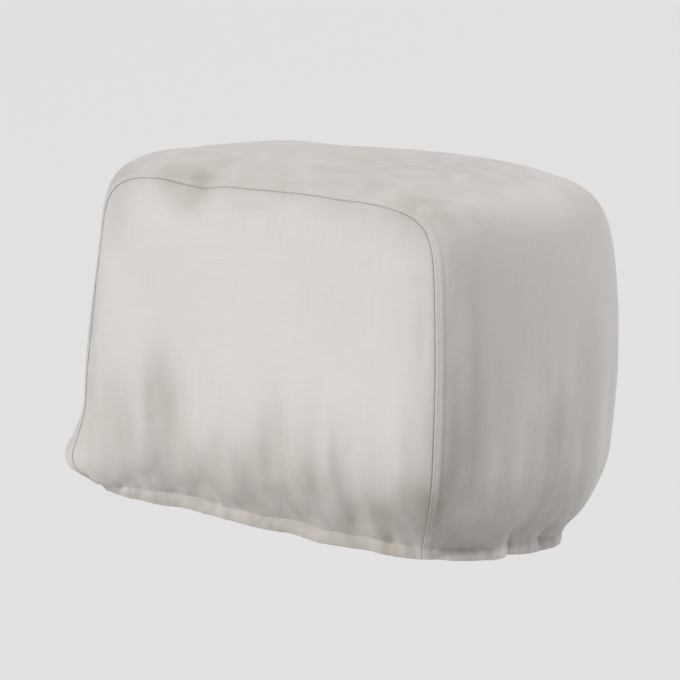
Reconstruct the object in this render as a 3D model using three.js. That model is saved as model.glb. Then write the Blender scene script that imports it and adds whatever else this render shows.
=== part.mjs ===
// Fitted cloth hood for an outboard motor's powerhead, in the shape in which it hangs on the motor.
// Three panels are sewn edge to edge: a centre band that runs up the forward face, over the top and down
// the aft face, and a side panel with rounded top corners on each side. The hem is turned inside and
// gathered, so the skirt draws in under the motor. The motor is left out: the hood is hollow and open below.
//
// Millimetres. +X is aft, +Y is starboard, +Z is up. The origin is on the inside of the top, in its middle.

import * as THREE from 'three';

// Cloth, and its hem turned up inside. The skirt meets the hem in a crease, as round as HEM_CREASE.
const CLOTH = 2;
const HEM_CLOTH = 3.6;
const HEM_WIDTH = 16;
const HEM_STEP = 5;
const HEM_CREASE = 5;
const SEAM_GAP = 0.4;

// The shoulder is the height in which the wall turns into the top. The skirt hangs below it.
const SHOULDER = 225;
const SKIRT = 225;
const SHOULDER_SQUARENESS = 6.5;
const PANEL_CORNER_SQUARENESS = 7;

// Half sizes of the hood at each depth below the crown, and how square its corners are there
const SECTIONS = [
  { depth: 0, forward: 287, aft: 306, port: 198, starboard: 200, squareness: 6 },
  { depth: 110, forward: 290, aft: 307, port: 202, starboard: 204, squareness: 6.5 },
  { depth: 225, forward: 307, aft: 309, port: 204, starboard: 206, squareness: 7 },
  { depth: 340, forward: 324, aft: 309, port: 206, starboard: 207, squareness: 6 },
  { depth: 450, forward: 332, aft: 305, port: 204, starboard: 203, squareness: 4.5 },
];

// How the skirt ends, by bearing: degrees from aft, turning by starboard. The hem hangs lower by sag. The
// last reach of cloth curves in, as far as inset if it went on so to the edge, but the hem hangs straight.
const HEM = [
  { bearing: 0, sag: 28, inset: 46, reach: 120 },
  { bearing: 45, sag: 33, inset: 58, reach: 130 },
  { bearing: 90, sag: 6, inset: 42, reach: 110 },
  { bearing: 135, sag: -6, inset: 38, reach: 100 },
  { bearing: 180, sag: -12, inset: 34, reach: 90 },
  { bearing: 225, sag: -9, inset: 34, reach: 80 },
  { bearing: 270, sag: 4, inset: 54, reach: 120 },
  { bearing: 315, sag: 12, inset: 52, reach: 120 },
];
const TURN = 360;

// Vertical folds of the loose skirt: a trough if push is inward, below 0, and a ridge if not. along is from
// the side's middle, to aft or to starboard. A fold starts at a depth below the crown, and leans along the
// side by lean for each unit of further depth.
const FOLDS = [
  { side: 'port', along: -236, start: 230, lean: -0.05, width: 26, push: 3 },
  { side: 'port', along: -142, start: 180, lean: 0.02, width: 24, push: -6 },
  { side: 'port', along: -112, start: 190, lean: 0.03, width: 52, push: -7 },
  { side: 'port', along: 38, start: 255, lean: -0.03, width: 18, push: -6 },
  { side: 'port', along: 84, start: 255, lean: 0.02, width: 19, push: 5 },
  { side: 'port', along: 150, start: 265, lean: 0.02, width: 20, push: -6 },
  { side: 'aft', along: -172, start: 60, lean: 0.02, width: 18, push: -6 },
  { side: 'aft', along: -66, start: 180, lean: 0.03, width: 38, push: 5 },
  { side: 'aft', along: 4, start: 210, lean: -0.04, width: 24, push: -9 },
  { side: 'aft', along: 103, start: 120, lean: 0, width: 28, push: 4 },
  { side: 'starboard', along: -170, start: 240, lean: 0.04, width: 24, push: -7 },
  { side: 'starboard', along: -30, start: 270, lean: -0.04, width: 20, push: -6 },
  { side: 'starboard', along: 36, start: 240, lean: 0.03, width: 26, push: 4 },
  { side: 'starboard', along: 150, start: 210, lean: 0.05, width: 22, push: -8 },
  { side: 'forward', along: -96, start: 240, lean: 0.04, width: 24, push: -7 },
  { side: 'forward', along: -10, start: 230, lean: -0.05, width: 30, push: 5 },
  { side: 'forward', along: 84, start: 250, lean: 0.02, width: 22, push: -8 },
];
const FOLD_RISE = 120;

// Soft round pushes of the cloth about a place, out if push is above 0
const DENTS = [
  { what: 'dimple by the forward port top corner', at: [-94, -174, -24], reach: [30, 60, 36], push: -11 },
  { what: 'notch in the starboard top edge', at: [-110, 185, -8], reach: [55, 60, 50], push: -7 },
  { what: 'pouch at the forward port hem', at: [-312, -150, -392], reach: [80, 80, 36], push: 40 },
  { what: 'pouch at the aft starboard hem', at: [262, 150, -430], reach: [70, 90, 60], push: 6 },
  { what: 'slack of the top towards aft', at: [270, 0, 0], reach: [120, 260, 60], push: -16 },
  { what: 'lift of the top towards forward', at: [-270, -120, 0], reach: [120, 150, 60], push: 11 },
  { what: 'fullness of the aft face', at: [309, 0, -230], reach: [80, 145, 140], push: 9 },
];

// Grid lines: columns along a side panel and across the band, rows up the skirt and up the shoulder.
// Crowding draws the lines towards the hem, the shoulder's bend and the band's edges.
const SIDE_COLUMNS = 32;
const BAND_COLUMNS = 18;
const SKIRT_ROWS = 9;
const SHOULDER_ROWS = 5;
const ROW_CROWDING = 1.5;
const BAND_CROWDING = 0.3;

const SIDES = {
  port: { out: new THREE.Vector3(0, -1, 0), run: new THREE.Vector3(1, 0, 0) },
  starboard: { out: new THREE.Vector3(0, 1, 0), run: new THREE.Vector3(1, 0, 0) },
  aft: { out: new THREE.Vector3(1, 0, 0), run: new THREE.Vector3(0, 1, 0) },
  forward: { out: new THREE.Vector3(-1, 0, 0), run: new THREE.Vector3(0, 1, 0) },
};

const { clamp, lerp, smoothstep } = THREE.MathUtils;

// Smooth cubic reading of a table's column at x, between the rows whose key is either side of it
function readTable(table, key, column, x) {
  const last = table.length - 1;
  const above = table.findIndex((row, i) => i === last || (i > 0 && row[key] >= x));
  const rows = [above - 2, above - 1, above, above + 1].map((i) => table[clamp(i, 0, last)]);
  const [x0, x1, x2, x3] = rows.map((row) => row[key]);
  const [y0, y1, y2, y3] = rows.map((row) => row[column]);
  const t = clamp((x - x1) / (x2 - x1), 0, 1);
  const startSlope = ((y2 - y0) / (x2 - x0)) * (x2 - x1);
  const endSlope = ((y3 - y1) / (x3 - x1)) * (x2 - x1);
  const square = 3 * (y2 - y1) - 2 * startSlope - endSlope;
  const cube = startSlope + endSlope - 2 * (y2 - y1);
  return y1 + t * (startSlope + t * (square + t * cube));
}

const turned = (row, turns) => ({ ...row, bearing: row.bearing + turns * TURN });
const HEM_ROUND = [
  ...HEM.slice(-2).map((row) => turned(row, -1)),
  ...HEM,
  ...HEM.slice(0, 2).map((row) => turned(row, 1)),
];

// Each point of the hood is named by a direction from the middle of the shoulder's foot: x aft,
// y to starboard and z up. Above the foot only the way that it points counts. Below it, x and y point the
// way, and z runs from 0 to -1 at the hem.
function hemAt(direction) {
  const bearing = (THREE.MathUtils.radToDeg(Math.atan2(direction.y, direction.x)) + TURN) % TURN;
  const read = (column) => readTable(HEM_ROUND, 'bearing', column, bearing);
  const length = SKIRT + read('sag');
  const height = length * (1 + Math.min(direction.z, 0));
  return { length, height, inset: read('inset'), reach: read('reach') };
}

const roundedLength = (x, y, squareness) =>
  (Math.abs(x) ** squareness + Math.abs(y) ** squareness) ** (1 / squareness);

const FOOT_SQUARENESS = readTable(SECTIONS, 'depth', 'squareness', SHOULDER);

// The hood without folds: rounded sections, a rounded shoulder and the drawn-in hem
function plainPoint(direction) {
  const { x, y, z } = direction;
  const hem = hemAt(direction);
  const level = roundedLength(x, y, FOOT_SQUARENESS);
  const whole = z > 0 ? roundedLength(level, z, SHOULDER_SQUARENESS) : level;
  const rise = z > 0 ? (SHOULDER * z) / whole : hem.length * z;
  const depth = SHOULDER - rise;
  const section = (column) => readTable(SECTIONS, 'depth', column, depth);
  const aboveHem = (hem.height + HEM_WIDTH + Math.hypot(hem.height - HEM_WIDTH, HEM_CREASE)) / 2;
  const tuck = hem.inset * Math.max(0, 1 - aboveHem / hem.reach) ** 2;
  const shrink = level > 0 ? level / whole / roundedLength(x, y, section('squareness')) : 0;
  return new THREE.Vector3(
    x * shrink * (section(x < 0 ? 'forward' : 'aft') - tuck),
    y * shrink * (section(y < 0 ? 'port' : 'starboard') - tuck),
    CLOTH - depth,
  );
}

// Outward normal of a surface at a direction, from its points a small step to each side
const DIRECTION_STEP = 0.004;

function normalOf(surface, direction) {
  const around = new THREE.Vector3(-direction.y, direction.x, 0);
  if (around.length() === 0) {
    around.y = 1;
  }
  const up = direction.z > 0 ? direction.clone().cross(around) : new THREE.Vector3(0, 0, 1);
  const change = (way) => {
    way.setLength(DIRECTION_STEP);
    return surface(direction.clone().add(way)).sub(surface(direction.clone().sub(way)));
  };
  return change(around).cross(change(up)).normalize();
}

function foldPush(point, normal) {
  const depth = CLOTH - point.z;
  let push = 0;
  for (const fold of FOLDS) {
    const facing = Math.max(0, normal.dot(SIDES[fold.side].out));
    const middle = fold.along + fold.lean * Math.max(0, depth - fold.start);
    const off = (point.dot(SIDES[fold.side].run) - middle) / fold.width;
    const rise = smoothstep(depth, fold.start, fold.start + FOLD_RISE);
    push += fold.push * facing ** 2 * rise * Math.exp(-(off ** 2));
  }
  return push;
}

function dentPush(point) {
  let push = 0;
  for (const dent of DENTS) {
    const off = point.toArray().map((value, i) => (value - dent.at[i]) / dent.reach[i]);
    push += dent.push * Math.exp(-(Math.hypot(...off) ** 2));
  }
  return push;
}

// The outside of the hanging cloth
function hoodPoint(direction) {
  const point = plainPoint(direction);
  const normal = normalOf(plainPoint, direction);
  return point.addScaledVector(normal, foldPush(point, normal) + dentPush(point));
}

function thickness(direction) {
  const { height } = hemAt(direction);
  return lerp(HEM_CLOTH, CLOTH, smoothstep(height, HEM_WIDTH, HEM_WIDTH + HEM_STEP));
}

// The closed solid of a panel, from its grid of directions: an outside, an inside one thickness in, and
// the cut edge that joins them
function sheetGeometry(grid) {
  const outside = [];
  const inside = [];
  for (const direction of grid.flat()) {
    const point = hoodPoint(direction);
    const normal = normalOf(hoodPoint, direction);
    outside.push(...point.toArray());
    inside.push(...point.addScaledVector(normal, -thickness(direction)).toArray());
  }
  const rows = grid.length;
  const columns = grid[0].length;
  const size = rows * columns;
  const at = (row, column) => row * columns + column;
  const index = [];
  const quad = (i, j, k, l) => index.push(i, j, k, i, k, l);
  for (let row = 1; row < rows; row += 1) {
    for (let column = 1; column < columns; column += 1) {
      const corners = [at(row - 1, column - 1), at(row - 1, column), at(row, column), at(row, column - 1)];
      quad(...corners);
      quad(...corners.toReversed().map((i) => size + i));
    }
  }
  const edge = [];
  for (let column = 0; column < columns - 1; column += 1) edge.push(at(0, column));
  for (let row = 0; row < rows - 1; row += 1) edge.push(at(row, columns - 1));
  for (let column = columns - 1; column > 0; column -= 1) edge.push(at(rows - 1, column));
  for (let row = rows - 1; row > 0; row -= 1) edge.push(at(row, 0));
  edge.forEach((from, i) => {
    const to = edge[(i + 1) % edge.length];
    quad(to, from, size + from, size + to);
  });
  const geometry = new THREE.BufferGeometry();
  geometry.setAttribute('position', new THREE.Float32BufferAttribute([...outside, ...inside], 3));
  geometry.setIndex(index);
  geometry.computeVertexNormals();
  return geometry;
}

// Places of the grid lines: aft along a side panel from -1 to 1, and up it from -1 at the hem, past 0 at
// the shoulder's foot, to 1 at the top seam
const steps = (count) => Array.from({ length: count + 1 }, (_, i) => i / count);
const COLUMN_PLACES = steps(SIDE_COLUMNS).map((t) => 2 * t - 1);
const HEM_PLACES = [-1, HEM_WIDTH / SKIRT - 1];
const SKIRT_FOOT = (HEM_WIDTH + HEM_STEP) / SKIRT - 1;
const ROW_PLACES = [
  ...HEM_PLACES,
  ...steps(SKIRT_ROWS).map((t) => lerp(SKIRT_FOOT, 0, t ** ROW_CROWDING)),
  ...steps(SHOULDER_ROWS).slice(1).map((t) => 1 - (1 - t) ** ROW_CROWDING),
];

// A side panel's outline is square in these places but for its rounded top corners, where the seam lies
// short of 1 by this factor
function seamFactor(x, z) {
  const up = Math.max(z, 0);
  return Math.max(Math.abs(x), up) / roundedLength(x, up, PANEL_CORNER_SQUARENESS);
}

// Panels stop half a seam gap short of the seam. One unit of place spans about EDGE_SPAN there.
const EDGE_SPAN = 125;
const EDGE_STOP = 1 - SEAM_GAP / 2 / EDGE_SPAN;

// side is -1 for port and 1 for starboard
function sidePanel(side) {
  const grid = ROW_PLACES.map((row) =>
    COLUMN_PLACES.map((column) => {
      const factor = row > 0 ? seamFactor(column, row) : 1;
      const up = row > 0 ? row * factor * EDGE_STOP : row;
      return new THREE.Vector3(-side * column * factor * EDGE_STOP, side, up);
    }),
  );
  return sheetGeometry(grid);
}

function centreBand() {
  const route = [
    ...ROW_PLACES.map((z) => [-1, z]),
    ...COLUMN_PLACES.slice(1, -1).map((x) => [x, 1]),
    ...ROW_PLACES.toReversed().map((z) => [1, z]),
  ];
  const across = steps(BAND_COLUMNS)
    .map((t) => 1 - 2 * t)
    .map((t) => t * (1 + BAND_CROWDING * (1 - t ** 2)));
  const grid = route.map(([x, z]) =>
    across.map((t) => new THREE.Vector3(x, (t * EDGE_STOP) / seamFactor(x, z), z)),
  );
  return sheetGeometry(grid);
}

function panel(name, geometry) {
  const material = new THREE.MeshStandardMaterial({ color: 0xd6d1cc, roughness: 0.85, metalness: 0 });
  const mesh = new THREE.Mesh(geometry, material);
  mesh.name = name;
  return mesh;
}

const hood = new THREE.Group();
hood.add(
  panel('centre_band', centreBand()),
  panel('side_panel_port', sidePanel(-1)),
  panel('side_panel_starboard', sidePanel(1)),
);

export default hood;
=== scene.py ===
"""Fitted cloth hood for an outboard motor's powerhead, in the shape in which it hangs on the motor.

Three panels are sewn edge to edge: a centre band that runs up the forward face, over the top and down the
aft face, and a side panel with rounded top corners on each side. The hem is turned inside and gathered, so
the skirt draws in under the motor. The motor is left out: the hood is hollow and open below.

Metres. +X is aft, +Y is starboard, +Z is up. The origin is on the inside of the top, in its middle.
"""

import math
from collections import namedtuple

import bmesh
import bpy
import numpy as np
from mathutils import Matrix, Vector, noise
from mathutils.kdtree import KDTree


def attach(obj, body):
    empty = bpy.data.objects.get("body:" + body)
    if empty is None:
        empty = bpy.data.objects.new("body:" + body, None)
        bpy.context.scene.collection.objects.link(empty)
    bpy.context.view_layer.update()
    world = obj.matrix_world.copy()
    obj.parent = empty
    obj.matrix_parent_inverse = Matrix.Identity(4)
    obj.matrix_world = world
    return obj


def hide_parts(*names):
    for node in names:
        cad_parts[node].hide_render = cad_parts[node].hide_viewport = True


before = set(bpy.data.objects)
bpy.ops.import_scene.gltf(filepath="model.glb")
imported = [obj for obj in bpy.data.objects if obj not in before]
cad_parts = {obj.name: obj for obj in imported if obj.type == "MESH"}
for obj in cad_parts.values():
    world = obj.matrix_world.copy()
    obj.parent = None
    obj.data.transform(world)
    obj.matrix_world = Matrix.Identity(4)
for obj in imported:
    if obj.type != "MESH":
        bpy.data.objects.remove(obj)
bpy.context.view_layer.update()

MM = 0.001
TINY = 1e-9

# ---------------------------------------------------------------- the hood's sizes, as its solids have them

CLOTH = 2 * MM  # of the solids
SHOULDER = 0.225  # height in which the wall turns into the top
SKIRT = 0.225  # height of the wall that hangs below the shoulder
HEM_WIDTH = 16 * MM
HEM_CREASE = 5 * MM  # how round the crease is in which the skirt meets the hem
SHOULDER_SQUARENESS = 6.5
PANEL_CORNER_SQUARENESS = 7

# Half sizes of the hood at each depth below the crown, and how square its corners are there
Section = namedtuple("Section", "depth forward aft port starboard squareness")
SECTIONS = [
    Section(0.000, 0.287, 0.306, 0.198, 0.200, 6.0),
    Section(0.110, 0.290, 0.307, 0.202, 0.204, 6.5),
    Section(0.225, 0.307, 0.309, 0.204, 0.206, 7.0),
    Section(0.340, 0.324, 0.309, 0.206, 0.207, 6.0),
    Section(0.450, 0.332, 0.305, 0.204, 0.203, 4.5),
]

# How the skirt ends, by bearing: degrees from aft, turning by starboard. The hem hangs lower by sag. The
# last reach of cloth curves in, as far as inset if it went on so to the edge, but the hem hangs straight.
# gathers is how closely it is gathered there, up to 1.
Hem = namedtuple("Hem", "bearing sag inset reach gathers")
HEM = [
    Hem(0, 0.028, 0.046, 0.120, 1.0),
    Hem(45, 0.033, 0.058, 0.130, 0.9),
    Hem(90, 0.006, 0.042, 0.110, 0.6),
    Hem(135, -0.006, 0.038, 0.100, 0.7),
    Hem(180, -0.012, 0.034, 0.090, 0.9),
    Hem(225, -0.009, 0.034, 0.080, 0.8),
    Hem(270, 0.004, 0.054, 0.120, 0.6),
    Hem(315, 0.012, 0.052, 0.120, 0.7),
]
TURN = 360  # degrees

# Vertical folds of the loose skirt: a trough if push is inward, below 0, and a ridge if not. along is from
# the side's middle, to aft or to starboard. A fold starts at a depth below the crown, and leans along the
# side by lean for each unit of further depth.
Fold = namedtuple("Fold", "side along start lean width push")
FOLDS = [
    Fold("port", -0.236, 0.230, -0.05, 0.026, 0.003),
    Fold("port", -0.142, 0.180, 0.02, 0.024, -0.006),
    Fold("port", -0.112, 0.190, 0.03, 0.052, -0.007),
    Fold("port", 0.038, 0.255, -0.03, 0.018, -0.006),
    Fold("port", 0.084, 0.255, 0.02, 0.019, 0.005),
    Fold("port", 0.150, 0.265, 0.02, 0.020, -0.006),
    Fold("aft", -0.172, 0.060, 0.02, 0.018, -0.006),
    Fold("aft", -0.066, 0.180, 0.03, 0.038, 0.005),
    Fold("aft", 0.004, 0.210, -0.04, 0.024, -0.009),
    Fold("aft", 0.103, 0.120, 0.00, 0.028, 0.004),
    Fold("starboard", -0.170, 0.240, 0.04, 0.024, -0.007),
    Fold("starboard", -0.030, 0.270, -0.04, 0.020, -0.006),
    Fold("starboard", 0.036, 0.240, 0.03, 0.026, 0.004),
    Fold("starboard", 0.150, 0.210, 0.05, 0.022, -0.008),
    Fold("forward", -0.096, 0.240, 0.04, 0.024, -0.007),
    Fold("forward", -0.010, 0.230, -0.05, 0.030, 0.005),
    Fold("forward", 0.084, 0.250, 0.02, 0.022, -0.008),
]
FOLD_RISE = 0.120

# Soft round pushes of the cloth about a place, out if push is above 0
Dent = namedtuple("Dent", "what at reach push")
DENTS = [
    Dent("dimple by the forward port top corner", (-0.094, -0.174, -0.024), (0.030, 0.060, 0.036), -0.011),
    Dent("notch in the starboard top edge", (-0.110, 0.185, -0.008), (0.055, 0.060, 0.050), -0.007),
    Dent("pouch at the forward port hem", (-0.312, -0.150, -0.392), (0.080, 0.080, 0.036), 0.040),
    Dent("pouch at the aft starboard hem", (0.262, 0.150, -0.430), (0.070, 0.090, 0.060), 0.006),
    Dent("slack of the top towards aft", (0.270, 0.000, 0.000), (0.120, 0.260, 0.060), -0.016),
    Dent("lift of the top towards forward", (-0.270, -0.120, 0.000), (0.120, 0.150, 0.060), 0.011),
    Dent("fullness of the aft face", (0.309, 0.000, -0.230), (0.080, 0.145, 0.140), 0.009),
]

# The way out of each side, and the axis that runs along it
SIDES = {
    "port": ((0, -1, 0), 0),
    "starboard": ((0, 1, 0), 0),
    "aft": ((1, 0, 0), 1),
    "forward": ((-1, 0, 0), 1),
}


# ---------------------------------------------------------------- the hood's surface

def read_table(table, key, column, place):
    """Smooth cubic reading of a table's column at each place, between the keys either side of it."""
    keys = np.array([getattr(row, key) for row in table], float)
    values = np.array([getattr(row, column) for row in table], float)
    last = len(table) - 1
    above = np.clip(np.searchsorted(keys, place), 1, last)
    near = np.clip(np.stack([above - 2, above - 1, above, above + 1]), 0, last)
    key_before, key_low, key_high, key_after = keys[near]
    before, low, high, after = values[near]
    gap = key_high - key_low
    share = np.clip((place - key_low) / gap, 0, 1)
    start_slope = (high - before) / (key_high - key_before) * gap
    end_slope = (after - low) / (key_after - key_low) * gap
    square = 3 * (high - low) - 2 * start_slope - end_slope
    cube = start_slope + end_slope - 2 * (high - low)
    return low + share * (start_slope + share * (square + share * cube))


def turned(row, turns):
    return row._replace(bearing=row.bearing + turns * TURN)


HEM_ROUND = [turned(row, -1) for row in HEM[-2:]] + HEM + [turned(row, 1) for row in HEM[:2]]


def smoothstep(value, low, high):
    share = np.clip((value - low) / (high - low), 0, 1)
    return share * share * (3 - 2 * share)


def bell(off):
    return np.exp(-(off ** 2))


def unit(vectors):
    return vectors / np.linalg.norm(vectors, axis=-1, keepdims=True)


def rounded_length(x, y, squareness):
    return (np.abs(x) ** squareness + np.abs(y) ** squareness) ** (1 / squareness)


# Each point of the hood is named by a way from the middle of the shoulder's foot: x aft, y to starboard and
# z up. Above the foot only the way that it points counts. Below it, x and y point the way, and z runs from 0
# to -1 at the hem.


def bearing_of(way):
    return np.degrees(np.arctan2(way[..., 1], way[..., 0])) % TURN


def hem_at(way):
    """How long the cloth below the foot is at each way, how high over its edge, and how it curves in."""
    bearing = bearing_of(way)
    sag, inset, reach = (
        read_table(HEM_ROUND, "bearing", column, bearing) for column in ("sag", "inset", "reach")
    )
    length = SKIRT + sag
    height = length * (1 + np.minimum(way[..., 2], 0))
    return length, height, inset, reach


FOOT_SQUARENESS = float(read_table(SECTIONS, "depth", "squareness", SHOULDER))


def plain_point(way):
    """The hood without folds: rounded sections, a rounded shoulder, and the hem drawn in."""
    x, y, z = np.moveaxis(way, -1, 0)
    length, height, inset, reach = hem_at(way)
    level = rounded_length(x, y, FOOT_SQUARENESS)
    above = z > 0
    whole = np.where(above, rounded_length(level, z, SHOULDER_SQUARENESS), level)
    depth = SHOULDER - np.where(above, SHOULDER * z / whole, length * z)
    forward, aft, port, starboard, squareness = (
        read_table(SECTIONS, "depth", column, depth) for column in Section._fields[1:]
    )
    above_hem = (height + HEM_WIDTH + np.hypot(height - HEM_WIDTH, HEM_CREASE)) / 2
    tuck = inset * np.maximum(0, 1 - above_hem / reach) ** 2
    shrink = level / whole / np.maximum(rounded_length(x, y, squareness), TINY)
    return np.stack([
        x * shrink * (np.where(x < 0, forward, aft) - tuck),
        y * shrink * (np.where(y < 0, port, starboard) - tuck),
        CLOTH - depth,
    ], axis=-1)


WAY_STEP = 0.004  # to each side of a way, for the surface's slope there


def normal_of(surface, way):
    """Outward normal of a surface at each way, from its points a small step to each side."""
    x, y, z = np.moveaxis(way, -1, 0)
    off_axis = np.hypot(x, y)[..., None] > TINY
    around = np.where(off_axis, np.stack([-y, x, np.zeros_like(x)], axis=-1), (0.0, 1.0, 0.0))
    up = np.where(z[..., None] > 0, np.cross(way, around), (0.0, 0.0, 1.0))

    def change(step):
        step = unit(step) * WAY_STEP
        return surface(way + step) - surface(way - step)

    return unit(np.cross(change(around), change(up)))


def upright_push(point, normal, fold, run_down, strength):
    """The push of a leaning fold or crease. run_down is how far below its start each point lies."""
    out, run = SIDES[fold.side]
    facing = np.maximum(0, normal @ np.array(out))
    middle = fold.along + fold.lean * run_down
    return fold.push * facing ** 2 * strength * bell((point[..., run] - middle) / fold.width)


def fold_push(point, normal):
    depth = CLOTH - point[..., 2]
    push = 0
    for fold in FOLDS:
        run_down = np.maximum(0, depth - fold.start)
        rise = smoothstep(depth, fold.start, fold.start + FOLD_RISE)
        push = push + upright_push(point, normal, fold, run_down, rise)
    return push


def closeness(point, at, reach):
    return bell(np.linalg.norm((point - np.array(at)) / np.array(reach), axis=-1))


def dent_push(point, dents):
    return sum(dent.push * closeness(point, dent.at, dent.reach) for dent in dents)


def hood_point(way):
    """The outside of the hanging cloth, as its solids have it."""
    point = plain_point(way)
    normal = normal_of(plain_point, way)
    return point + normal * (fold_push(point, normal) + dent_push(point, DENTS))[..., None]


# ---------------------------------------------------------------- the panels' grids

HEM_ROWS = 15
HEM_ROWS_HEIGHT = 0.024
SKIRT_ROWS = 46
SHOULDER_ROWS = 56
SIDE_COLUMNS = 150
BAND_COLUMNS = 104
BAND_CROWDING = 0.3  # draws the band's columns towards its edges

# Rows run up a side panel from -1 at the hem, past 0 at the shoulder's foot, to 1 at the top seam. Its
# columns run from -1 to 1. The band's columns run across it from 1 to -1.
HEM_ROWS_TOP = HEM_ROWS_HEIGHT / SKIRT - 1
ROW_PLACES = np.concatenate([
    np.linspace(-1, HEM_ROWS_TOP, HEM_ROWS + 1)[:-1],
    np.linspace(HEM_ROWS_TOP, 0, SKIRT_ROWS + 1)[:-1],
    np.linspace(0, 1, SHOULDER_ROWS + 1),
])
COLUMN_PLACES = np.linspace(-1, 1, SIDE_COLUMNS + 1)
EVEN_PLACES = np.linspace(1, -1, BAND_COLUMNS + 1)
BAND_PLACES = EVEN_PLACES * (1 + BAND_CROWDING * (1 - EVEN_PLACES ** 2))
SEAM_STOP = 1 - 0.0005  # panels stop this short of the seam


def seam_factor(x, z):
    """Where a side panel's seam lies on the way to a square edge: under 1 at its rounded corners."""
    up = np.maximum(z, 0)
    return np.maximum(np.abs(x), up) / np.maximum(rounded_length(x, up, PANEL_CORNER_SQUARENESS), TINY)


def side_ways(side):
    """A side panel's grid of ways. side is -1 for port and 1 for starboard."""
    row, column = np.meshgrid(ROW_PLACES, COLUMN_PLACES, indexing="ij")
    factor = np.where(row > 0, seam_factor(column, row), 1) * SEAM_STOP
    up = row * np.where(row > 0, factor, 1)
    return np.stack([-side * column * factor, np.full_like(row, side), up], axis=-1)


def band_ways():
    """The band's grid of ways, up the forward face, aft over the top and down the aft face."""
    ends = np.ones_like(ROW_PLACES)
    inner = COLUMN_PLACES[1:-1]
    x = np.concatenate([-ends, inner, ends])
    z = np.concatenate([ROW_PLACES, np.ones_like(inner), ROW_PLACES[::-1]])
    y = BAND_PLACES * (SEAM_STOP / seam_factor(x, z))[:, None]
    x, z = (np.broadcast_to(value[:, None], y.shape) for value in (x, z))
    return np.stack([x, y, z], axis=-1)


def grid_faces(numbers):
    """Quads between a grid's points, which face its out side."""
    corners = numbers[:-1, :-1], numbers[:-1, 1:], numbers[1:, 1:], numbers[1:, :-1]
    return np.stack(corners, axis=-1).reshape(-1, 4)


# ---------------------------------------------------------------- fine folds, seams and hem

# Small creases: a trough if push is below 0. along and lean are as in a fold. Each fades in below its top
# and out above its foot, which are depths below the crown.
Crease = namedtuple("Crease", "side along top foot lean width push")
CREASES = [
    Crease("port", -0.276, 0.120, 0.330, -0.03, 0.008, -0.0014),
    Crease("port", -0.262, 0.190, 0.400, -0.06, 0.010, -0.0018),
    Crease("port", -0.196, 0.260, 0.430, 0.06, 0.014, -0.0026),
    Crease("port", -0.168, 0.300, 0.445, 0.10, 0.009, 0.0010),
    Crease("port", -0.118, 0.190, 0.450, 0.02, 0.020, -0.0034),
    Crease("port", -0.052, 0.310, 0.450, 0.05, 0.013, -0.0024),
    Crease("port", -0.018, 0.330, 0.455, -0.06, 0.012, 0.0010),
    Crease("port", 0.026, 0.250, 0.470, -0.03, 0.014, 0.0030),
    Crease("port", 0.062, 0.230, 0.470, -0.03, 0.014, -0.0040),
    Crease("port", 0.112, 0.260, 0.455, -0.02, 0.010, -0.0022),
    Crease("port", 0.132, 0.240, 0.470, 0.02, 0.009, 0.0030),
    Crease("port", 0.166, 0.260, 0.470, 0.02, 0.013, -0.0030),
    Crease("port", 0.190, 0.330, 0.460, 0.07, 0.014, -0.0022),
    Crease("port", 0.236, 0.250, 0.450, 0.03, 0.012, 0.0016),
    Crease("port", 0.262, 0.060, 0.300, 0.02, 0.009, -0.0010),
    Crease("aft", -0.146, 0.080, 0.470, -0.04, 0.026, 0.0012),
    Crease("aft", -0.104, 0.260, 0.460, 0.05, 0.014, -0.0014),
    Crease("aft", -0.030, 0.190, 0.480, -0.05, 0.056, -0.0052),
    Crease("aft", 0.004, 0.180, 0.520, -0.04, 0.024, 0.0066),
    Crease("aft", 0.018, 0.230, 0.480, 0.10, 0.018, -0.0020),
    Crease("aft", 0.072, 0.300, 0.470, 0.05, 0.014, -0.0012),
    Crease("aft", 0.140, 0.200, 0.460, -0.04, 0.013, -0.0022),
    Crease("aft", 0.168, 0.080, 0.400, 0.02, 0.009, 0.0020),
    Crease("starboard", -0.250, 0.120, 0.380, 0.04, 0.012, -0.0020),
    Crease("starboard", -0.205, 0.230, 0.440, 0.02, 0.012, 0.0026),
    Crease("starboard", -0.110, 0.260, 0.440, -0.06, 0.013, -0.0026),
    Crease("starboard", -0.062, 0.290, 0.450, 0.04, 0.012, 0.0024),
    Crease("starboard", 0.006, 0.300, 0.450, 0.08, 0.011, -0.0020),
    Crease("starboard", 0.092, 0.250, 0.450, -0.04, 0.014, -0.0028),
    Crease("starboard", 0.124, 0.280, 0.450, 0.02, 0.011, 0.0026),
    Crease("starboard", 0.205, 0.220, 0.440, 0.05, 0.013, 0.0024),
    Crease("starboard", 0.254, 0.080, 0.400, -0.02, 0.011, -0.0016),
    Crease("forward", -0.150, 0.150, 0.400, 0.04, 0.013, 0.0022),
    Crease("forward", -0.058, 0.260, 0.430, -0.05, 0.012, 0.0026),
    Crease("forward", 0.030, 0.280, 0.430, 0.04, 0.012, -0.0026),
    Crease("forward", 0.120, 0.230, 0.430, -0.03, 0.012, 0.0024),
    Crease("forward", 0.164, 0.100, 0.380, 0.02, 0.010, -0.0018),
]

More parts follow.
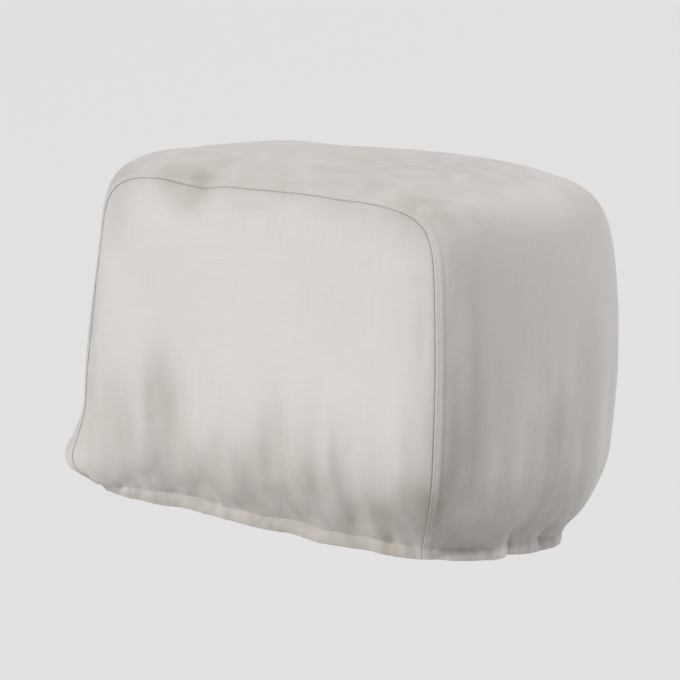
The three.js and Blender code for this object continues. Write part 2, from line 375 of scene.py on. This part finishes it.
# Small dents of the top and its edges, a hollow above the pouch, pinches of the aft hem, and fuller places
# of the aft face
SMALL_DENTS = [
    Dent("second dent beside the dimple", (-0.130, -0.190, -0.014), (0.018, 0.045, 0.028), -0.0048),
    Dent("small crease on the port top edge", (-0.026, -0.188, -0.016), (0.030, 0.030, 0.009), -0.0022),
    Dent("small crease below it", (-0.004, -0.196, -0.034), (0.034, 0.030, 0.008), -0.0016),
    Dent("dent in the port top edge towards aft", (0.128, -0.180, -0.010), (0.022, 0.050, 0.030), -0.0034),
    Dent("trough along the top", (-0.040, -0.060, 0.004), (0.180, 0.018, 0.050), -0.0026),
    Dent("ridge along the top", (0.060, -0.015, 0.004), (0.200, 0.022, 0.050), 0.0020),
    Dent("trough across the top", (0.205, 0.040, 0.000), (0.020, 0.130, 0.050), -0.0022),
    Dent("ridge across the top", (-0.205, 0.050, 0.002), (0.024, 0.120, 0.050), 0.0020),
    Dent("crease from the aft starboard corner", (0.215, 0.120, -0.004), (0.070, 0.012, 0.050), -0.0022),
    Dent("hollow above the pouch", (-0.318, -0.168, -0.370), (0.060, 0.060, 0.018), -0.0060),
    Dent("pinch of the aft hem", (0.272, -0.010, -0.464), (0.060, 0.007, 0.020), -0.0090),
    Dent("branch of the pinch towards port", (0.276, -0.026, -0.444), (0.060, 0.006, 0.012), -0.0050),
    Dent("branch of the pinch towards starboard", (0.276, 0.004, -0.444), (0.060, 0.006, 0.012), -0.0050),
    Dent("second pinch of the aft hem", (0.268, 0.058, -0.462), (0.060, 0.009, 0.016), -0.0070),
    Dent("third pinch of the aft hem", (0.272, -0.128, -0.466), (0.060, 0.007, 0.014), -0.0050),
    Dent("fullness of the aft face's upper half", (0.312, 0.050, -0.130), (0.080, 0.110, 0.065), 0.0045),
    Dent("fullness above the aft starboard hem", (0.250, 0.095, -0.430), (0.050, 0.050, 0.024), 0.0050),
]

# Painted shade, with some grime: darker places in hollows, troughs, dimples and pinches, on the aft half of
# the top and low on the skirt where it turns under, and painted light where the share is below 0: where each
# is, how far it reaches, and what it adds to the share of the dark dust colour in the cloth's colour
PaintedShadeAndGrime = namedtuple("PaintedShadeAndGrime", "where at reach share")
PAINTED_SHADE_AND_GRIME = [
    PaintedShadeAndGrime("dimple by the forward port top corner", (-0.106, -0.195, -0.024), (0.026, 0.060, 0.026), 0.50),
    PaintedShadeAndGrime("top beside the dimple", (-0.130, -0.170, 0.000), (0.036, 0.045, 0.030), 0.50),
    PaintedShadeAndGrime("trough in the port skirt", (-0.142, -0.205, -0.300), (0.036, 0.060, 0.060), 0.78),
    PaintedShadeAndGrime("forward corner of the port skirt", (-0.245, -0.205, -0.325), (0.075, 0.060, 0.065), 0.56),
    PaintedShadeAndGrime("forward edge of the port panel", (-0.285, -0.205, -0.190), (0.034, 0.060, 0.110), 0.92),
    PaintedShadeAndGrime("port skirt", (0.060, -0.200, -0.365), (0.200, 0.060, 0.075), 0.53),
    PaintedShadeAndGrime("second trough in the port skirt", (0.050, -0.200, -0.370), (0.022, 0.060, 0.080), 0.40),
    PaintedShadeAndGrime("foot of the port skirt", (-0.090, -0.195, -0.405), (0.050, 0.060, 0.030), 0.32),
    PaintedShadeAndGrime("aft end of the port skirt", (0.205, -0.190, -0.415), (0.090, 0.060, 0.060), 0.62),
    PaintedShadeAndGrime("cleaner forward end of the port skirt", (-0.260, -0.190, -0.410), (0.080, 0.060, 0.040), -0.55),
    PaintedShadeAndGrime("forward top corner of the port panel", (-0.235, -0.205, -0.060), (0.044, 0.060, 0.050), 0.55),
    PaintedShadeAndGrime("port edge of the aft face", (0.310, -0.175, -0.170), (0.060, 0.028, 0.120), 0.16),
    PaintedShadeAndGrime("foot of that edge", (0.300, -0.165, -0.310), (0.060, 0.028, 0.060), 0.90),
    PaintedShadeAndGrime("foot of that edge, above the hem", (0.290, -0.180, -0.395), (0.060, 0.026, 0.050), 0.75),
    PaintedShadeAndGrime("cleaner aft top edge", (0.295, 0.060, -0.062), (0.060, 0.130, 0.045), -0.50),
    PaintedShadeAndGrime("aft half of the top", (0.120, 0.000, 0.000), (0.160, 0.200, 0.050), 0.16),
    PaintedShadeAndGrime("aft end of the top, by the port seam", (0.262, -0.165, -0.012), (0.050, 0.050, 0.034), 0.50),
    PaintedShadeAndGrime("trough in the aft face", (0.300, 0.014, -0.335), (0.060, 0.020, 0.050), 0.58),
    PaintedShadeAndGrime("port side of that trough", (0.300, -0.028, -0.335), (0.060, 0.026, 0.060), 0.64),
    PaintedShadeAndGrime("cleaner casing of the aft hem", (0.275, -0.110, -0.470), (0.060, 0.110, 0.012), -3.00),
    PaintedShadeAndGrime("pinch of the aft hem", (0.272, -0.010, -0.460), (0.060, 0.004, 0.009), 2.00),
    PaintedShadeAndGrime("second pinch of the aft hem", (0.272, 0.058, -0.452), (0.060, 0.010, 0.010), 0.60),
    PaintedShadeAndGrime("foot of the aft face", (0.280, -0.040, -0.410), (0.060, 0.110, 0.060), 0.42),
    PaintedShadeAndGrime("foot of the starboard panel", (-0.090, 0.190, -0.400), (0.120, 0.060, 0.070), 0.30),
    PaintedShadeAndGrime("foot of the forward face", (-0.310, 0.060, -0.380), (0.060, 0.110, 0.060), 0.28),
]

# Gathers that the drawn hem sends up the skirt: how far apart each kind is, how deep, and the heights above
# the hem where it starts and has died out
Gather = namedtuple("Gather", "spacing depth low high")
GATHERS = [
    Gather(0.009, 0.0018, -0.012, 0.034),
    Gather(0.017, 0.0034, -0.008, 0.070),
    Gather(0.046, 0.0048, 0.006, 0.130),
]
GATHERS_A_CELL = 2  # about how often the noise that makes them crosses 0 in each of its cells
GATHER_FULLEST = 0.3  # share of its height at which a gather is deepest
GATHER_LEAN = 0.25
GATHER_ROUND = 3  # how full the cloth is between gathers
GATHER_SINK = 0.8  # how deep it sinks at them

# Slack of the cloth: soft hollows and swells of each size
Slack = namedtuple("Slack", "size swell")
SLACK = [Slack(0.120, 0.0016), Slack(0.050, 0.0006)]
SLACK_ABOVE = 0.35  # share of the slack that is left above the skirt
SLACK_TOP = 0.100  # depths below the crown between which the slack and the ripples grow
SLACK_FOOT = 0.300

# Fine upright ripples of the slack skirt
RIPPLE_WIDTH = 0.020
RIPPLE_LENGTH = 0.110
RIPPLE_SWELL = 0.9 * MM
RIPPLE_FOOT = 0.350

# A seam: its groove, the turned-in cloth that raises the band beside it, and the band's topstitching
GROOVE = 0.35 * MM
GROOVE_WIDTH = 1.8 * MM
TURNING = 12 * MM
TURNING_EDGE = 3 * MM
TURNING_RISE = 1.0 * MM
TOPSTITCH = 4.5 * MM
STITCH_SINK = 0.5 * MM
STITCH_SINK_WIDTH = 1.2 * MM
PUCKER = 0.45 * MM
PUCKER_SPACING = 9 * MM
PUCKER_REACH = 16 * MM

# The hem's casing, and the line of stitches that closes it
CASING = HEM_WIDTH
CASING_SWELL = 1.8 * MM
HEM_THICKNESS = 3 * MM
SHEET_THICKNESS = 1.3 * MM
CASING_EDGE = 2 * MM
RIM_STEPS = 4


def noise_at(points):
    """Smooth noise, about -1 to 1, at each point."""
    values = [noise.noise(point) for point in points.reshape(-1, 3).tolist()]
    return np.array(values).reshape(points.shape[:-1])


def crease_push(point, normal):
    depth = CLOTH - point[..., 2]
    push = 0
    for crease in CREASES:
        run_down = depth - crease.top
        half = (crease.foot - crease.top) / 2
        fade = smoothstep(half - np.abs(run_down - half), 0, half)
        push = push + upright_push(point, normal, crease, run_down, fade)
    return push


def gather_push(point, from_hem, tightness):
    """Gathers: sharp creases inward with rounded cloth between them."""
    push = 0
    for number, gather in enumerate(GATHERS):
        place = point / (gather.spacing * GATHERS_A_CELL)
        # The number keeps the noises of the kinds apart
        place[..., 2] = number + GATHER_LEAN * point[..., 2] / gather.spacing
        rounded = np.abs(noise_at(place)) * GATHER_ROUND - GATHER_SINK
        fullest = GATHER_FULLEST * gather.high
        reach = smoothstep(from_hem, gather.low, fullest) * (1 - smoothstep(from_hem, fullest, gather.high))
        push = push + gather.depth * reach * rounded
    return push * tightness


def slack_push(point):
    depth = CLOTH - point[..., 2]
    share = SLACK_ABOVE + (1 - SLACK_ABOVE) * smoothstep(depth, SLACK_TOP, SLACK_FOOT)
    slackness = sum(slack.swell * noise_at(point / slack.size) for slack in SLACK)
    ripples = noise_at(point / (RIPPLE_WIDTH, RIPPLE_WIDTH, RIPPLE_LENGTH))
    return share * slackness + RIPPLE_SWELL * ripples * smoothstep(depth, SLACK_TOP, RIPPLE_FOOT)


def seam_push(from_seam, along_seam, on_band):
    """Relief of the cloth beside a seam."""
    push = -GROOVE * bell(from_seam / GROOVE_WIDTH)
    # The two sides of a seam pucker in their own ways, so the third number keeps their noises apart
    place = [along_seam / PUCKER_SPACING, from_seam / PUCKER_REACH, np.full_like(from_seam, on_band)]
    near = 1 - smoothstep(from_seam, 0, PUCKER_REACH)
    push = push + PUCKER * near * noise_at(np.stack(place, axis=-1))
    if on_band:
        push = push + TURNING_RISE * (1 - smoothstep(from_seam, TURNING - TURNING_EDGE, TURNING))
        push = push - STITCH_SINK * bell((from_seam - TOPSTITCH) / STITCH_SINK_WIDTH)
    return push


def casing_push(from_hem):
    swell = np.sin(math.pi * np.clip(from_hem / CASING, 0, 1))
    return CASING_SWELL * swell - STITCH_SINK * bell((from_hem - CASING) / STITCH_SINK_WIDTH)


# ---------------------------------------------------------------- the panels' cloth

BAND = "centre_band"
PORT = "side_panel_port"
STARBOARD = "side_panel_starboard"

# The side panels: which side each is on, -1 for port and 1 for starboard, and the band's column sewn to it
SidePanel = namedtuple("SidePanel", "side band_column")
SIDE_PANELS = {PORT: SidePanel(-1, -1), STARBOARD: SidePanel(1, 0)}
CUT_MAP = "cut"
LINE_STEP = 0.5 * MM


def running_length(line):
    """How far along a line of points each of them lies."""
    return np.concatenate([[0], np.cumsum(np.linalg.norm(np.diff(line, axis=0), axis=-1))])


def spaced(line, *values, step):
    """A line's points, and values that go with them, read anew at the middles of even steps along it."""
    length = running_length(line)
    count = max(2, round(length[-1] / step))
    places = (np.arange(count) + 0.5) / count * length[-1]

    def read_anew(value):
        return np.stack([np.interp(places, length, column) for column in value.T], axis=-1)

    return [read_anew(value) for value in (line, *values)]


def from_line(points, line):
    """How far each point lies from a line, and how far along the line that is."""
    fine, = spaced(line, step=LINE_STEP)
    tree = KDTree(len(fine))
    for number, point in enumerate(fine):
        tree.insert(point, number)
    tree.balance()
    found = np.array([tree.find(point)[1:] for point in points.reshape(-1, 3).tolist()])
    along = found[:, 0] * LINE_STEP
    return found[:, 1].reshape(points.shape[:-1]), along.reshape(points.shape[:-1])


def up_from_hem(points):
    """How far up its column each point of a grid lies from the first row."""
    steps = np.linalg.norm(np.diff(points, axis=0), axis=-1)
    return np.concatenate([np.zeros((1, points.shape[1])), np.cumsum(steps, axis=0)])


class Panel:
    """A panel's cloth on its grid: outside, normals, distances from hem and seams, and places in the cut."""

    def __init__(self, name, way, seams):
        self.name = name
        self.on_band = name == BAND
        plain = hood_point(way)
        self.normal = normal_of(hood_point, way)
        up = up_from_hem(plain)
        self.from_hem = np.minimum(up, up[-1] - up) if self.on_band else up
        self.cut = self.flat_places(plain, up)
        tightness = read_table(HEM_ROUND, "bearing", "gathers", bearing_of(way))
        push = crease_push(plain, self.normal) + dent_push(plain, SMALL_DENTS) + slack_push(plain)
        push = push + gather_push(plain, self.from_hem, tightness) + casing_push(self.from_hem)
        self.from_seam = np.full(push.shape, np.inf)
        for seam in seams:
            distance, along = from_line(plain, seam)
            push = push + np.where(distance < PUCKER_REACH, seam_push(distance, along, self.on_band), 0)
            self.from_seam = np.minimum(self.from_seam, distance)
        self.outside = plain + self.normal * push[..., None]

    def flat_places(self, plain, up):
        """Where each point lies in the flat cloth. The band is measured from its middle both ways."""
        if not self.on_band:
            return np.stack([plain[..., 0], plain[0, :, 2] + up], axis=-1)
        rows, columns = up.shape
        across = up_from_hem(np.swapaxes(plain, 0, 1)).T
        return np.stack([across - across[:, [columns // 2]], up - up[rows // 2]], axis=-1)

    def thickness(self):
        hem = 1 - smoothstep(self.from_hem, CASING, CASING + CASING_EDGE)
        return SHEET_THICKNESS + (HEM_THICKNESS - SHEET_THICKNESS) * hem

    def build(self):
        """The sheet of cloth that stands for the panel's solid."""
        # Painted shade and painted light, with some grime, from the table of them
        painted_shade_and_grime = sum(painted_mark.share * closeness(self.outside, painted_mark.at, painted_mark.reach) for painted_mark in PAINTED_SHADE_AND_GRIME)
        marks = {"from_hem": self.from_hem, "from_seam": self.from_seam, "painted_shade_and_grime": painted_shade_and_grime}
        piece = closed_sheet(
            self.name + "_cloth", self.outside, self.normal, self.thickness(), self.cut, marks
        )
        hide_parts(self.name)
        return piece


def new_piece(name, points, faces):
    """A smoothly shaded piece of the hood, which rides on its only body."""
    mesh = bpy.data.meshes.new(name)
    mesh.from_pydata(points.tolist(), [], faces)
    mesh.polygons.foreach_set("use_smooth", [True] * len(mesh.polygons))
    piece = bpy.data.objects.new(name, mesh)
    bpy.context.scene.collection.objects.link(piece)
    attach(piece, "root")
    return piece


def rim_of(outside, inside):
    """Rows of points round the edge along a sheet's first row, from its inside to its outside."""
    middle = (outside[0] + inside[0]) / 2
    across = outside[0] - middle
    down = unit(outside[0] - outside[1]) * np.linalg.norm(across, axis=-1, keepdims=True)
    angles = math.pi * np.arange(RIM_STEPS, 0, -1) / (RIM_STEPS + 1)
    return np.array([middle + across * math.cos(angle) + down * math.sin(angle) for angle in angles])


def sheet_faces(numbers):
    """Faces of a sheet, from its points' numbers in rows: down its inside, round its rim, up its outside.

    They go all the way round, and close each end between the outer and the inner half of its edge column.
    """
    faces = [grid_faces(np.concatenate([numbers, numbers[:1]]))]
    for edge, order in ((0, 1), (-1, -1)):
        inner, outer = np.split(numbers[:, edge], 2)
        inner = inner[::-1]
        faces.append(np.stack([outer[:-1], outer[1:], inner[1:], inner[:-1]][::order], axis=-1))
    return np.concatenate(faces).tolist()


def closed_sheet(name, outside, normal, thickness, cut, marks):
    """A closed sheet of cloth under a grid of points, with a rounded edge along the grid's first row.

    cut is each point's place in the flat cloth, and marks are numbers of each point that its finish reads.
    """
    inside = outside - normal * thickness[..., None]
    around = np.concatenate([inside[::-1], rim_of(outside, inside), outside])
    rows, columns = around.shape[:2]
    numbers = np.arange(rows * columns).reshape(rows, columns)
    piece = new_piece(name, around.reshape(-1, 3), sheet_faces(numbers))
    mesh = piece.data

    def all_round(values):
        return np.concatenate([values[::-1], np.repeat(values[:1], RIM_STEPS, axis=0), values])

    corners = np.empty(len(mesh.loops), int)
    mesh.loops.foreach_get("vertex_index", corners)
    flat = all_round(cut).reshape(-1, 2)[corners]
    mesh.uv_layers.new(name=CUT_MAP).data.foreach_set("uv", flat.ravel())
    for mark, values in marks.items():
        attribute = mesh.attributes.new(mark, "FLOAT", "POINT")
        attribute.data.foreach_set("value", all_round(values).ravel().astype(np.float32))
    mesh.update()
    return piece


band_points = hood_point(band_ways())
seams = {name: band_points[:, row.band_column] for name, row in SIDE_PANELS.items()}
panels = {BAND: Panel(BAND, band_ways(), list(seams.values()))}
for name, row in SIDE_PANELS.items():
    panels[name] = Panel(name, side_ways(row.side), [seams[name]])
pieces = {name: panel.build() for name, panel in panels.items()}


# ---------------------------------------------------------------- stitching

STITCH_PITCH = 4.2 * MM
STITCH_LENGTH = 3.4 * MM
THREAD_RADIUS = 0.4 * MM
STITCH_SIDES = 6
STITCH_RINGS = 4


def line_at(distance, from_edge, *fields):
    """Where the distance from the grid's first column is reached in each row: what the fields hold there."""
    rows = np.arange(len(from_edge))
    beyond = np.argmax(from_edge > distance, axis=1)
    before = beyond - 1
    low, high = from_edge[rows, before], from_edge[rows, beyond]
    share = ((distance - low) / (high - low))[:, None]
    return [field[rows, before] * (1 - share) + field[rows, beyond] * share for field in fields]


def stitch_form():
    """The points and faces of a ball with a radius of 1 and poles on X, to be stretched into a stitch."""
    form = bmesh.new()
    turned_over = Matrix.Rotation(math.pi / 2, 3, "Y")
    bmesh.ops.create_uvsphere(form, u_segments=STITCH_SIDES, v_segments=STITCH_RINGS, radius=1)
    bmesh.ops.rotate(form, verts=form.verts, matrix=turned_over)
    points = np.array([point.co for point in form.verts])
    # Blender lists the ball's faces in an order that changes from run to run, so they are put in one order
    faces = sorted([point.index for point in face.verts] for face in form.faces)
    form.free()
    return points, faces


def stitching(name, lines):
    """Stitches along lines of points with their normals."""
    form, form_faces = stitch_form()
    points, faces = [], []
    for line, normal in lines:
        centre, up = spaced(line, normal, step=STITCH_PITCH)
        along = unit(np.gradient(centre, axis=0))
        aside = unit(np.cross(up, along))
        axes = np.stack([along * STITCH_LENGTH / 2, aside * THREAD_RADIUS, unit(up) * THREAD_RADIUS], axis=1)
        for place, axis in zip(centre, axes):
            start = len(points) * len(form)
            faces += [[start + number for number in face] for face in form_faces]
            points.append(form @ axis + place)
    return new_piece(name, np.concatenate(points), faces)


def seam_lines(panel):
    """The topstitching of the band, a little in from each of its edges."""
    fields = panel.from_seam, panel.outside, panel.normal
    for step in (1, -1):
        yield line_at(TOPSTITCH, *(field[:, ::step] for field in fields))


def hem_lines(panel):
    """The line that closes the hem's casing: one on a side panel, and one at each end of the band."""
    fields = [np.swapaxes(field, 0, 1) for field in (panel.from_hem, panel.outside, panel.normal)]
    steps = (1, -1) if panel.on_band else (1,)
    for step in steps:
        yield line_at(CASING, *(field[:, ::step] for field in fields))


def stitches_of(panel):
    lines = [*hem_lines(panel)]
    if panel.on_band:
        lines += seam_lines(panel)
    return stitching(panel.name + "_stitching", lines)


stitches = {name: stitches_of(panel) for name, panel in panels.items()}


# ---------------------------------------------------------------- fields of the cut sizes

# The fields for what each panel was cut to, with the hem's turning but without the seams': its width and
# length, and its area, which is less than theirs, because a side panel's top corners are round and the band
# tapers
Cut = namedtuple("Cut", "width length area")


# ---------------------------------------------------------------- materials

CLOTH_COLOUR = (0.700, 0.662, 0.640)
CLOTH_SHADE = (0.630, 0.592, 0.564)
# The dark colour of dust and grime, which also serves as painted shade
DUST_AND_SHADE_COLOUR = (0.400, 0.366, 0.330)
THREAD_COLOUR = (0.720, 0.690, 0.650)

# The weave, and the uneven places of its threads, along the warp and along the weft
THREAD_PITCH = 0.9 * MM
WEAVE_DEPTH = 0.16 * MM
UNEVEN_WIDTH = 1.25 * THREAD_PITCH
UNEVEN_LENGTH = 0.104
UNEVEN_SIZES = [(UNEVEN_WIDTH, UNEVEN_LENGTH, 1), (UNEVEN_LENGTH, UNEVEN_WIDTH, 1)]
UNEVEN_HEIGHT = 1.2  # against the weave's
UNEVEN_DETAIL = 2
WEAVE_STRENGTH = 0.8

# How strongly threads, weave and fading lighten the cloth, and between which sums of them it does
THREAD_TONE = 0.5
WEAVE_TONE = 0.1
FADING_TONE = 0.8
TONE_RANGE = (0.15, 0.85)
FADING_SIZE = 0.167
FADING_DETAIL = 4
ROUGHNESS_RANGE = (0.86, 0.70)  # where threads are thin, and where they are thick
THREAD_RANGE = (0.6, 1.4)  # what counts as thin, and as thick
CLOTH_SPECULAR = 0.30
CLOTH_SHEEN = 0.20
CLOTH_SHEEN_ROUGHNESS = 0.45

# Soft rumples of the cloth
RUMPLE_SIZE = 0.018
RUMPLE_DETAIL = 3
RUMPLE_DEPTH = 0.9 * MM
RUMPLE_STRENGTH = 0.6

# The sewing thread's twist
TWIST_SIZE = 1.1 * MM
TWIST_DEPTH = 0.15 * MM
TWIST_STRENGTH = 0.7
TWIST_DETAIL = 1
TWIST_RANGE = (0.3, 0.7)
THREAD_ROUGHNESS = 0.55

# Dust, which also serves as painted shade: its share of the cloth's colour up from the hem, painted shade of
# the skirt turning under as well, on cloth that faces up (between the upward parts of its normal given
# below), painted shade of the top as well, and beside the seams, painted shade in their grooves as well, and
# the patches in which it lies
# Painted shade as well as dust: darker towards the hem, where the skirt turns under
HEM_DUST_AND_SHADE = 0.95
HEM_DUST_AND_SHADE_HEIGHT = 0.150
# Painted shade as well as dust: darker where the cloth faces up, on the top
TOP_DUST_AND_SHADE = 0.62
TOP_DUST_AND_SHADE_TILT = (0.05, 0.85)
# Painted shade as well as dust: darker in the grooves beside the seams
SEAM_DUST_AND_SHADE = 0.06
SEAM_DUST_AND_SHADE_WIDTH = 4 * MM
PATCH_SIZES = (0.040, 0.040, 0.100)
PATCH_DETAIL = 4
PATCH_RANGE = (0.25, 0.75)
PATCH_SHARE = (0.42, 0.78)


def add_node(tree, kind, inputs=None, **settings):
    """A node of a material. Each input, by its name or number, takes a value or another node's output."""
    made = tree.nodes.new("ShaderNode" + kind)
    for setting, value in settings.items():
        setattr(made, setting, value)
    for key, value in (inputs or {}).items():
        if isinstance(value, bpy.types.NodeSocket):
            tree.links.new(value, made.inputs[key])
        else:
            made.inputs[key].default_value = value
    return made


def math_of(tree, operation, *values):
    return add_node(tree, "Math", dict(enumerate(values)), operation=operation).outputs[0]


def noise_of(tree, place, sizes, detail):
    """Noise about 0.5 at each place, with spots of these sizes along x, y and z."""
    scales = tuple(1 / size for size in sizes)
    scaled = add_node(tree, "VectorMath", {0: place, 1: scales}, operation="MULTIPLY").outputs[0]
    return add_node(tree, "TexNoise", {"Vector": scaled, "Scale": 1, "Detail": detail}).outputs[0]


# The sockets that a Mix node uses for colours
MIX_SHARE, MIX_FIRST, MIX_SECOND = 0, 6, 7
MIX_RESULT = 2


def mixed(tree, share, first, second):
    """A colour between two."""
    inputs = {MIX_SHARE: share, MIX_FIRST: first, MIX_SECOND: second}
    return add_node(tree, "Mix", inputs, data_type="RGBA").outputs[MIX_RESULT]


def ranged(tree, value, low, high, new_low, new_high):
    """value from low to high, as a smooth step from new_low to new_high."""
    inputs = {0: value, 1: low, 2: high, 3: new_low, 4: new_high}
    return add_node(tree, "MapRange", inputs, interpolation_type="SMOOTHSTEP").outputs[0]


def bumped(tree, height, depth, strength):
    return add_node(tree, "Bump", {"Height": height, "Distance": depth, "Strength": strength})


def opaque(colour):
    return (*colour, 1.0)


def new_material(name):
    material = bpy.data.materials.new(name)
    material.use_nodes = True
    tree = material.node_tree
    return material, tree, tree.nodes["Principled BSDF"]


def woven(tree):
    """The weave's height at each place of the cut, and how thick its threads are there."""
    place = add_node(tree, "UVMap", uv_map=CUT_MAP).outputs[0]
    across, along, _ = add_node(tree, "SeparateXYZ", {0: place}).outputs
    ribs = [
        math_of(tree, "SINE", math_of(tree, "MULTIPLY", value, math.pi / THREAD_PITCH))
        for value in (across, along)
    ]
    warp, weft = (noise_of(tree, place, sizes, UNEVEN_DETAIL) for sizes in UNEVEN_SIZES)
    return math_of(tree, "MULTIPLY", *ribs), math_of(tree, "ADD", warp, weft)


def dust_and_shade_share(tree, body):
    """The share of the dark dust colour in the cloth's colour: dust, partly painted shade, up from the hem,
    on the top and beside the seams, and painted shade and light with some grime from the table of them.
    """
    from_hem, from_seam, painted_shade_and_grime = (
        add_node(tree, "Attribute", attribute_name=mark).outputs["Fac"]
        for mark in ("from_hem", "from_seam", "painted_shade_and_grime")
    )
    facing = add_node(tree, "TexCoord").outputs["Normal"]
    up = add_node(tree, "SeparateXYZ", {0: facing}).outputs[2]
    hem_dust_and_shade = ranged(tree, from_hem, 0, HEM_DUST_AND_SHADE_HEIGHT, HEM_DUST_AND_SHADE, 0)
    top_dust_and_shade = ranged(tree, up, *TOP_DUST_AND_SHADE_TILT, 0, TOP_DUST_AND_SHADE)
    dust_and_shade = math_of(tree, "ADD", math_of(tree, "ADD", hem_dust_and_shade, top_dust_and_shade), painted_shade_and_grime)
    patches = noise_of(tree, body, PATCH_SIZES, PATCH_DETAIL)
    dust_and_shade = math_of(tree, "MULTIPLY", dust_and_shade, ranged(tree, patches, *PATCH_RANGE, *PATCH_SHARE))
    return math_of(tree, "MAXIMUM", dust_and_shade, ranged(tree, from_seam, 0, SEAM_DUST_AND_SHADE_WIDTH, SEAM_DUST_AND_SHADE, 0))


def cloth_material():
    """Plain-woven matt cover cloth: weave, uneven threads, faint fading, dust and grime with painted shade
    and painted light, and soft rumples.
    """
    material, tree, shader = new_material("cover_cloth")
    body = add_node(tree, "TexCoord").outputs["Object"]
    weave, threads = woven(tree)
    fading = noise_of(tree, body, (FADING_SIZE,) * 3, FADING_DETAIL)
    tones = (threads, THREAD_TONE), (weave, WEAVE_TONE), (fading, FADING_TONE)
    tone = -FADING_TONE / 2  # fading lies about 0.5
    for value, strength in tones:
        tone = math_of(tree, "ADD", math_of(tree, "MULTIPLY", value, strength), tone)
    shade = ranged(tree, tone, *TONE_RANGE, 1, 0)
    colour = mixed(tree, shade, opaque(CLOTH_COLOUR), opaque(CLOTH_SHADE))
    colour = mixed(tree, dust_and_shade_share(tree, body), colour, opaque(DUST_AND_SHADE_COLOUR))
    tree.links.new(colour, shader.inputs["Base Color"])
    tree.links.new(ranged(tree, threads, *THREAD_RANGE, *ROUGHNESS_RANGE), shader.inputs["Roughness"])
    shader.inputs["Specular IOR Level"].default_value = CLOTH_SPECULAR
    shader.inputs["Sheen Weight"].default_value = CLOTH_SHEEN
    shader.inputs["Sheen Roughness"].default_value = CLOTH_SHEEN_ROUGHNESS
    rumple = noise_of(tree, body, (RUMPLE_SIZE,) * 3, RUMPLE_DETAIL)
    height = math_of(tree, "ADD", weave, math_of(tree, "MULTIPLY", threads, UNEVEN_HEIGHT))
    coarse = bumped(tree, rumple, RUMPLE_DEPTH, RUMPLE_STRENGTH)
    fine = bumped(tree, height, WEAVE_DEPTH, WEAVE_STRENGTH)
    tree.links.new(coarse.outputs[0], fine.inputs["Normal"])
    tree.links.new(fine.outputs[0], shader.inputs["Normal"])
    return material


def thread_material():
    """Twisted polyester sewing thread, a little lighter than the cloth."""
    material, tree, shader = new_material("sewing_thread")
    body = add_node(tree, "TexCoord").outputs["Object"]
    twist = noise_of(tree, body, (TWIST_SIZE,) * 3, TWIST_DETAIL)
    light = ranged(tree, twist, *TWIST_RANGE, 0, 1)
    colour = mixed(tree, light, opaque(CLOTH_SHADE), opaque(THREAD_COLOUR))
    tree.links.new(colour, shader.inputs["Base Color"])
    shader.inputs["Roughness"].default_value = THREAD_ROUGHNESS
    relief = bumped(tree, twist, TWIST_DEPTH, TWIST_STRENGTH)
    tree.links.new(relief.outputs[0], shader.inputs["Normal"])
    return material


cloth_finish = cloth_material()
thread_finish = thread_material()
for piece in pieces.values():
    piece.data.materials.append(cloth_finish)
for piece in stitches.values():
    piece.data.materials.append(thread_finish)


# ---------------------------------------------------------------- stage, lights and camera

FLOOR_HEIGHT = -1.3  # well below the hood, which hangs on its motor
FLOOR_SIZE = 60
FLOOR_COLOUR = (0.66, 0.66, 0.66)
FLOOR_ROUGHNESS = 0.9
MIDDLE = Vector((-0.010, 0.0, -0.235))  # of the hood
CAMERA_PLACE = Vector((2.617, -3.275, 0.500))
CAMERA_AIM = Vector((-0.014, 0.0, -0.235))
CAMERA_LENS = 176  # millimetres, as the sensor's width is
CAMERA_SENSOR = 36

# Wide soft studio lights: how far round from aft by starboard each stands and how high, in degrees, how wide
# it looks from the hood, and its strength
Lamp = namedtuple("Lamp", "name bearing height width strength")
LAMPS = [
    Lamp("key", 250, 36, 16, 2.53),
    Lamp("fill", 62, 42, 36, 1.98),
]
SURROUND = 0.25
SURROUND_COLOUR = (1, 1, 1)
LAMP_DISTANCE = 4


def looking(name, data, place, aim):
    """A lamp or camera at a place, turned to face another."""
    thing = bpy.data.objects.new(name, data)
    thing.location = place
    thing.rotation_mode = "QUATERNION"
    thing.rotation_quaternion = (aim - place).to_track_quat("-Z", "Y")
    bpy.context.scene.collection.objects.link(thing)
    return thing


def floor():
    bpy.ops.mesh.primitive_plane_add(size=FLOOR_SIZE, location=(0, 0, FLOOR_HEIGHT))
    plane = bpy.context.object
    plane.name = "floor"
    material, _, shader = new_material("pale_floor")
    shader.inputs["Base Color"].default_value = opaque(FLOOR_COLOUR)
    shader.inputs["Roughness"].default_value = FLOOR_ROUGHNESS
    plane.data.materials.append(material)


def lights():
    for lamp in LAMPS:
        data = bpy.data.lights.new(lamp.name, "SUN")
        data.energy = lamp.strength
        data.angle = math.radians(lamp.width)
        bearing, height = math.radians(lamp.bearing), math.radians(lamp.height)
        way = Vector((
            math.cos(height) * math.cos(bearing),
            math.cos(height) * math.sin(bearing),
            math.sin(height),
        ))
        looking(lamp.name, data, MIDDLE + way * LAMP_DISTANCE, MIDDLE)
    world = bpy.data.worlds.new("surround")
    world.use_nodes = True
    background = world.node_tree.nodes["Background"]
    background.inputs["Strength"].default_value = SURROUND
    background.inputs["Color"].default_value = opaque(SURROUND_COLOUR)
    bpy.context.scene.world = world


def camera():
    data = bpy.data.cameras.new("camera")
    data.lens = CAMERA_LENS
    data.sensor_width = CAMERA_SENSOR
    bpy.context.scene.camera = looking("camera", data, CAMERA_PLACE, CAMERA_AIM)


floor()
lights()
camera()
bpy.context.scene.view_settings.view_transform = "Standard"
